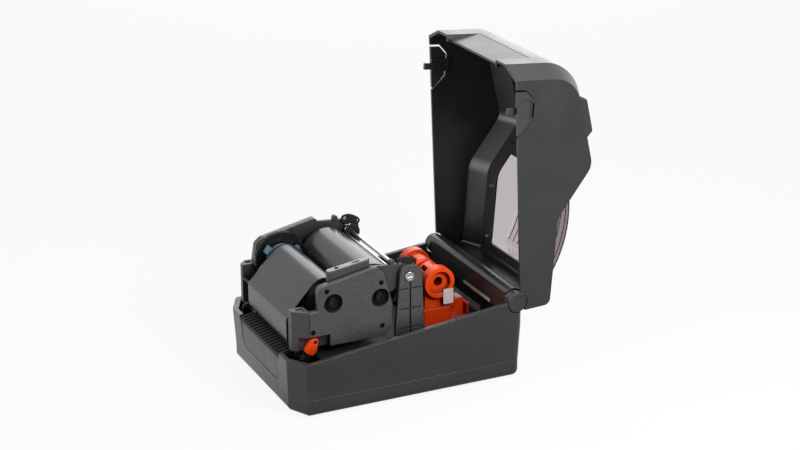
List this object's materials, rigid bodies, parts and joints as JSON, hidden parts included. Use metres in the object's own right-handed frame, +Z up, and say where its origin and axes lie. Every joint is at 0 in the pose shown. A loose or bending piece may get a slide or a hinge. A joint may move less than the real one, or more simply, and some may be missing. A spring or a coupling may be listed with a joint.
{
  "type": "thermal label printer",
  "caption": "Desktop thermal transfer label printer with a tall hinged lid, swing-up ribbon module, centring label roll holders and a driven platen.",
  "frame": {"origin": "on the floor under the centre of the base", "axes": "+Z up, -Y is the front where labels come out, +X is the printer's right seen from the front"},
  "size_m": [0.214, 0.3752, 0.3636],
  "materials": {
    "case_plastic": "fine grain",
    "panel_plastic": "fine grain",
    "deck_plastic": "fine grain",
    "module_plastic": "coarse grain",
    "clamp_plastic": "satin",
    "orange_plastic": "semi-gloss",
    "black_plastic": "satin",
    "hub_plastic": "satin",
    "gear_plastic": "satin",
    "button_plastic": "satin",
    "light_lens": "clear",
    "window_clear": "polished",
    "film": "satin",
    "core_board": "plain",
    "rubber": "matte",
    "steel": "satin",
    "bright_steel": "polished",
    "head_metal": "satin",
    "circuit_board": "satin"
  },
  "bodies": {
    "base": {"base_case": "case_plastic", "bottom_pan": "case_plastic", "front_panel": "panel_plastic", "tear_ledge": "panel_plastic", "rubber_feet": "rubber", "hinge_pins": "case_plastic", "media_deck": "deck_plastic", "media_sensor": "black_plastic", "pivot_bracket_right": "deck_plastic", "pivot_bracket_left": "deck_plastic", "pivot_pins": "bright_steel", "platen_frame": "deck_plastic", "platen_bushes": "gear_plastic", "motor_plate": "steel", "drive_motor": "steel", "main_board": "circuit_board", "io_panel": "steel", "rear_ports": "steel", "power_jack": "black_plastic", "base_screws": "bright_steel"},
    "lid": {"lid_shell": "case_plastic", "media_window": "window_clear", "window_frame": "case_plastic", "window_screws": "bright_steel", "control_panel": "panel_plastic", "panel_board": "circuit_board", "status_lights": "light_lens"},
    "latch_right": {"latch_button_right": "panel_plastic"},
    "latch_left": {"latch_button_left": "panel_plastic"},
    "feed": {"feed_button": "button_plastic"},
    "pause": {"pause_button": "button_plastic"},
    "module": {"module_frame": "module_plastic", "module_plate_right": "module_plastic", "module_screws": "bright_steel", "gear_cover_left": "module_plastic", "ribbon_clamp": "clamp_plastic", "cross_bars": "bright_steel", "guide_bar": "bright_steel", "print_head": "head_metal", "head_cover": "module_plastic", "ribbon_film": "film", "spring_caps": "deck_plastic", "lift_springs": "steel"},
    "lever": {"release_lever": "orange_plastic"},
    "supply": {"supply_spindle": "black_plastic", "supply_core": "core_board", "supply_ribbon": "film"},
    "take_up": {"take_up_spindle": "black_plastic", "take_up_ribbon": "film", "take_up_gear": "black_plastic", "take_up_hub": "hub_plastic"},
    "platen": {"platen_shaft": "steel", "platen_rubber": "rubber", "platen_gear": "gear_plastic"},
    "idler": {"idler_gear": "gear_plastic"},
    "motor_drive": {"motor_pinion": "steel"},
    "holder_right": {"media_holder_right": "orange_plastic"},
    "holder_left": {"media_holder_left": "orange_plastic"},
    "holder_gear": {"holder_pinion": "gear_plastic"},
    "switch": {"power_switch": "black_plastic"}
  },
  "joints": [
    {"name": "lid_hinge", "type": "hinge", "parent": "base", "child": "lid", "pos_m": [0, 0.1307, 0.093], "axis": [-1, 0, 0], "range_deg": [-94.4, 0]},
    {"name": "latch_right_press", "type": "slide", "parent": "lid", "child": "latch_right", "axis": [-1, 0, 0], "range_m": [0, 0.003], "stiffness_N_per_m": 800, "springref_m": -0.002},
    {"name": "latch_left_press", "type": "slide", "parent": "lid", "child": "latch_left", "axis": [1, 0, 0], "range_m": [0, 0.003], "stiffness_N_per_m": 800, "springref_m": -0.002},
    {"name": "feed_press", "type": "slide", "parent": "lid", "child": "feed", "axis": [0, -0.9744, -0.225], "range_m": [0, 0.0012], "stiffness_N_per_m": 600, "springref_m": -0.001},
    {"name": "pause_press", "type": "slide", "parent": "lid", "child": "pause", "axis": [0, -0.9744, -0.225], "range_m": [0, 0.0012], "stiffness_N_per_m": 600, "springref_m": -0.001},
    {"name": "module_lift", "type": "hinge", "parent": "base", "child": "module", "pos_m": [0, 0.0092, 0.136], "axis": [-1, 0, 0], "range_deg": [0, 50]},
    {"name": "lever_pull", "type": "hinge", "parent": "module", "child": "lever", "pos_m": [0.077, -0.1045, 0.079], "axis": [-1, 0, 0], "range_deg": [0, 12], "stiffness_Nm_per_rad": 0.2, "springref_deg": -17.19},
    {"name": "supply_spin", "type": "hinge", "parent": "module", "child": "supply", "pos_m": [0, -0.026, 0.117], "axis": [1, 0, 0], "continuous": true},
    {"name": "take_up_spin", "type": "hinge", "parent": "module", "child": "take_up", "pos_m": [0, -0.082, 0.12], "axis": [1, 0, 0], "continuous": true},
    {"name": "platen_spin", "type": "hinge", "parent": "base", "child": "platen", "pos_m": [0, -0.113, 0.0559], "axis": [1, 0, 0], "continuous": true},
    {"name": "idler_spin", "type": "hinge", "parent": "base", "child": "idler", "pos_m": [-0.087, -0.08555, 0.04991], "axis": [1, 0, 0], "continuous": true},
    {"name": "motor_spin", "type": "hinge", "parent": "base", "child": "motor_drive", "pos_m": [-0.087, -0.079, 0.0288], "axis": [1, 0, 0], "continuous": true},
    {"name": "holder_right_slide", "type": "slide", "parent": "base", "child": "holder_right", "axis": [1, 0, 0], "range_m": [0, 0.033], "stiffness_N_per_m": 40, "springref_m": -0.02},
    {"name": "holder_left_slide", "type": "slide", "parent": "base", "child": "holder_left", "axis": [-1, 0, 0], "range_m": [0, 0.033]},
    {"name": "holder_gear_spin", "type": "hinge", "parent": "base", "child": "holder_gear", "pos_m": [0, 0.068, 0.0365], "axis": [0, 0, 1], "range_deg": [-237, 0]},
    {"name": "power_rock", "type": "hinge", "parent": "base", "child": "switch", "pos_m": [-0.02, 0.134, 0.0327], "axis": [1, 0, 0], "range_deg": [0, 16]}
  ],
  "couplings": [
    {"joint": "take_up_spin", "follows": "supply_spin", "ratio": 1.5122},
    {"joint": "idler_spin", "follows": "platen_spin", "ratio": -0.75},
    {"joint": "motor_spin", "follows": "platen_spin", "ratio": 2},
    {"joint": "holder_left_slide", "follows": "holder_right_slide", "ratio": 1},
    {"joint": "holder_gear_spin", "follows": "holder_right_slide", "rad_per_m": -125}
  ]
}
